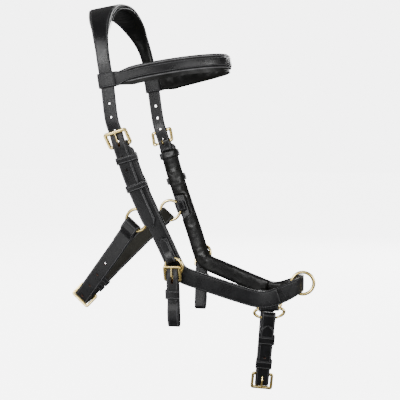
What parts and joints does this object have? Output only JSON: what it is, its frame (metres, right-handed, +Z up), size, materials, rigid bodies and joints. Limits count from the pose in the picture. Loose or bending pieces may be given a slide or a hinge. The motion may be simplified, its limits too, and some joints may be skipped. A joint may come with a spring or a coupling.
{
  "type": "bridle",
  "caption": "Padded black leather bridle with brass buckles and rings, a shaped noseband, a jaw strap, a chin strap and buckled bit hangers.",
  "frame": {"origin": "at the poll: on the middle of the head under the crown of the headpiece, where the bridle hangs", "axes": "+X forward over the horse's nose, +Y to the horse's left, +Z up"},
  "size_m": [0.338, 0.2152, 0.5156],
  "materials": {
    "black_leather": "smooth black bridle leather",
    "soft_lining": "soft padded black lining leather",
    "brass": "polished pale brass",
    "white_piping": "white piping cord covered in leather"
  },
  "bodies": {
    "bridle": {"headpiece": "black_leather", "headpiece_front_piping": "white_piping", "headpiece_pad": "soft_lining", "headpiece_rear_piping": "white_piping", "left_bit_ring_chape": "black_leather", "left_cheek_pad": "soft_lining", "left_cheek_strap": "black_leather", "left_chin_dee_chape": "black_leather", "left_jaw_ring_tab": "black_leather", "left_upper_keeper": "black_leather", "noseband_front": "black_leather", "noseband_front_pad": "soft_lining", "right_bit_ring_chape": "black_leather", "right_cheek_pad": "soft_lining", "right_cheek_strap": "black_leather", "right_chin_dee_chape": "black_leather", "right_jaw_ring_tab": "black_leather", "right_upper_keeper": "black_leather"},
    "browband": {"browband": "black_leather", "browband_pad": "soft_lining", "browband_upper_piping": "white_piping", "browband_lower_piping": "white_piping", "right_browband_loop": "black_leather", "left_browband_loop": "black_leather"},
    "right_cheek_buckle_frame": {"right_cheek_buckle_frame": "brass"},
    "right_cheek_buckle_tongue": {"right_cheek_buckle_tongue": "brass"},
    "right_runner": {"right_lower_keeper": "black_leather"},
    "right_jaw_ring": {"right_jaw_ring": "brass"},
    "right_bit_ring": {"right_bit_ring": "brass"},
    "right_bit_hanger": {"right_bit_hanger": "black_leather", "right_bit_keeper": "black_leather"},
    "right_bit_buckle_frame": {"right_bit_buckle_frame": "brass"},
    "right_bit_buckle_tongue": {"right_bit_buckle_tongue": "brass"},
    "right_chin_dee": {"right_chin_dee": "brass"},
    "left_cheek_buckle_frame": {"left_cheek_buckle_frame": "brass"},
    "left_cheek_buckle_tongue": {"left_cheek_buckle_tongue": "brass"},
    "left_runner": {"left_lower_keeper": "black_leather"},
    "left_jaw_ring": {"left_jaw_ring": "brass"},
    "left_bit_ring": {"left_bit_ring": "brass"},
    "left_bit_hanger": {"left_bit_hanger": "black_leather", "left_bit_keeper": "black_leather"},
    "left_bit_buckle_frame": {"left_bit_buckle_frame": "brass"},
    "left_bit_buckle_tongue": {"left_bit_buckle_tongue": "brass"},
    "left_chin_dee": {"left_chin_dee": "brass"},
    "jaw_strap": {"jaw_strap_right": "black_leather", "jaw_strap_left": "black_leather", "jaw_keeper": "black_leather"},
    "jaw_buckle_frame": {"jaw_buckle_frame": "brass"},
    "jaw_buckle_tongue": {"jaw_buckle_tongue": "brass"},
    "jaw_runner": {"jaw_runner": "black_leather"},
    "chin_strap": {"chin_strap_right": "black_leather", "chin_strap_left": "black_leather", "chin_keeper": "black_leather"},
    "chin_buckle_frame": {"chin_buckle_frame": "brass"},
    "chin_buckle_tongue": {"chin_buckle_tongue": "brass"},
    "chin_runner": {"chin_runner": "black_leather"},
    "front_ring": {"front_ring": "brass"}
  },
  "joints": [
    {"name": "browband_slide", "type": "slide", "parent": "bridle", "child": "browband", "axis": [0.1867, 0, -0.9824], "range_m": [-0.002, 0.006]},
    {"name": "right_cheek_buckle_frame_hinge", "type": "hinge", "parent": "bridle", "child": "right_cheek_buckle_frame", "pos_m": [0.04352, -0.09552, -0.18015], "axis": [0.9561, 0, 0.2931], "range_deg": [0, 4]},
    {"name": "right_cheek_buckle_tongue_hinge", "type": "hinge", "parent": "right_cheek_buckle_frame", "child": "right_cheek_buckle_tongue", "pos_m": [0.04352, -0.09552, -0.18015], "axis": [0.9561, 0, 0.2931], "range_deg": [0, 3]},
    {"name": "right_runner_slide", "type": "slide", "parent": "bridle", "child": "right_runner", "axis": [0.3461, 0.1433, -0.9272], "range_m": [-0.005, 0.005]},
    {"name": "right_jaw_ring_spin", "type": "hinge", "parent": "bridle", "child": "right_jaw_ring", "pos_m": [0.05903, -0.07855, -0.27708], "axis": [-0.0531, -0.9968, -0.0594], "continuous": true},
    {"name": "right_bit_ring_flap", "type": "hinge", "parent": "bridle", "child": "right_bit_ring", "pos_m": [0.10341, -0.07792, -0.32552], "axis": [-0.931, 0, -0.3651], "range_deg": [-1.5, 12]},
    {"name": "right_bit_hanger_swing", "type": "hinge", "parent": "right_bit_ring", "child": "right_bit_hanger", "pos_m": [0.10755, -0.07674, -0.33608], "axis": [0.0379, -0.9946, -0.0968], "range_deg": [-7, 7]},
    {"name": "right_bit_buckle_frame_hinge", "type": "hinge", "parent": "right_bit_hanger", "child": "right_bit_buckle_frame", "pos_m": [0.10631, -0.07569, -0.35344], "axis": [0.9993, 0.0381, 0], "range_deg": [0, 4]},
    {"name": "right_bit_buckle_tongue_hinge", "type": "hinge", "parent": "right_bit_buckle_frame", "child": "right_bit_buckle_tongue", "pos_m": [0.10631, -0.07569, -0.35344], "axis": [0.9993, 0.0381, 0], "range_deg": [0, 3]},
    {"name": "right_chin_dee_flap", "type": "hinge", "parent": "bridle", "child": "right_chin_dee", "pos_m": [0.22514, -0.03388, -0.39362], "axis": [0.9879, 0.1367, 0.0728], "range_deg": [-3, 2]},
    {"name": "left_cheek_buckle_frame_hinge", "type": "hinge", "parent": "bridle", "child": "left_cheek_buckle_frame", "pos_m": [0.04352, 0.09552, -0.18015], "axis": [-0.9561, 0, -0.2931], "range_deg": [0, 4]},
    {"name": "left_cheek_buckle_tongue_hinge", "type": "hinge", "parent": "left_cheek_buckle_frame", "child": "left_cheek_buckle_tongue", "pos_m": [0.04352, 0.09552, -0.18015], "axis": [-0.9561, 0, -0.2931], "range_deg": [0, 3]},
    {"name": "left_runner_slide", "type": "slide", "parent": "bridle", "child": "left_runner", "axis": [0.3461, -0.1433, -0.9272], "range_m": [-0.005, 0.005]},
    {"name": "left_jaw_ring_spin", "type": "hinge", "parent": "bridle", "child": "left_jaw_ring", "pos_m": [0.05903, 0.07855, -0.27708], "axis": [-0.0531, 0.9968, -0.0594], "continuous": true},
    {"name": "left_bit_ring_flap", "type": "hinge", "parent": "bridle", "child": "left_bit_ring", "pos_m": [0.10341, 0.07792, -0.32552], "axis": [0.931, 0, 0.3651], "range_deg": [-1.5, 12]},
    {"name": "left_bit_hanger_swing", "type": "hinge", "parent": "left_bit_ring", "child": "left_bit_hanger", "pos_m": [0.10755, 0.07674, -0.33608], "axis": [0.0379, 0.9946, -0.0968], "range_deg": [-7, 7]},
    {"name": "left_bit_buckle_frame_hinge", "type": "hinge", "parent": "left_bit_hanger", "child": "left_bit_buckle_frame", "pos_m": [0.10631, 0.07569, -0.35344], "axis": [-0.9993, 0.0381, 0], "range_deg": [0, 4]},
    {"name": "left_bit_buckle_tongue_hinge", "type": "hinge", "parent": "left_bit_buckle_frame", "child": "left_bit_buckle_tongue", "pos_m": [0.10631, 0.07569, -0.35344], "axis": [-0.9993, 0.0381, 0], "range_deg": [0, 3]},
    {"name": "left_chin_dee_flap", "type": "hinge", "parent": "bridle", "child": "left_chin_dee", "pos_m": [0.21016, 0.03515, -0.39366], "axis": [0.998, -0.0016, -0.0627], "range_deg": [-3, 2]},
    {"name": "jaw_strap_swing", "type": "hinge", "parent": "bridle", "child": "jaw_strap", "pos_m": [0.05903, 0, -0.27708], "axis": [0, 1, 0], "range_deg": [-10, 20]},
    {"name": "jaw_buckle_frame_hinge", "type": "hinge", "parent": "jaw_strap", "child": "jaw_buckle_frame", "pos_m": [-0.03719, 0.00418, -0.38469], "axis": [0.7455, 0, -0.6665], "range_deg": [0, 4]},
    {"name": "jaw_buckle_tongue_hinge", "type": "hinge", "parent": "jaw_buckle_frame", "child": "jaw_buckle_tongue", "pos_m": [-0.03719, 0.00418, -0.38469], "axis": [0.7455, 0, -0.6665], "range_deg": [0, 3]},
    {"name": "jaw_runner_slide", "type": "slide", "parent": "jaw_strap", "child": "jaw_runner", "axis": [0.5977, 0.4425, 0.6685], "range_m": [0, 0.012]},
    {"name": "chin_strap_swing", "type": "hinge", "parent": "bridle", "child": "chin_strap", "pos_m": [0.2174, 0.00058, -0.40708], "axis": [-0.261, 0.9653, 0.0002], "range_deg": [-4, 2]},
    {"name": "chin_buckle_frame_hinge", "type": "hinge", "parent": "chin_strap", "child": "chin_buckle_frame", "pos_m": [0.21157, -0.00488, -0.48729], "axis": [-0.9737, -0.2113, 0.0852], "range_deg": [0, 4]},
    {"name": "chin_buckle_tongue_hinge", "type": "hinge", "parent": "chin_buckle_frame", "child": "chin_buckle_tongue", "pos_m": [0.21157, -0.00488, -0.48729], "axis": [-0.9737, -0.2113, 0.0852], "range_deg": [0, 3]},
    {"name": "chin_runner_slide", "type": "slide", "parent": "chin_strap", "child": "chin_runner", "axis": [0.1483, -0.304, 0.9411], "range_m": [-0.02, 0.003]},
    {"name": "front_ring_spin", "type": "hinge", "parent": "bridle", "child": "front_ring", "pos_m": [0.2636, 0, -0.3635], "axis": [-0.2079, 0.9781, 0], "continuous": true}
  ]
}
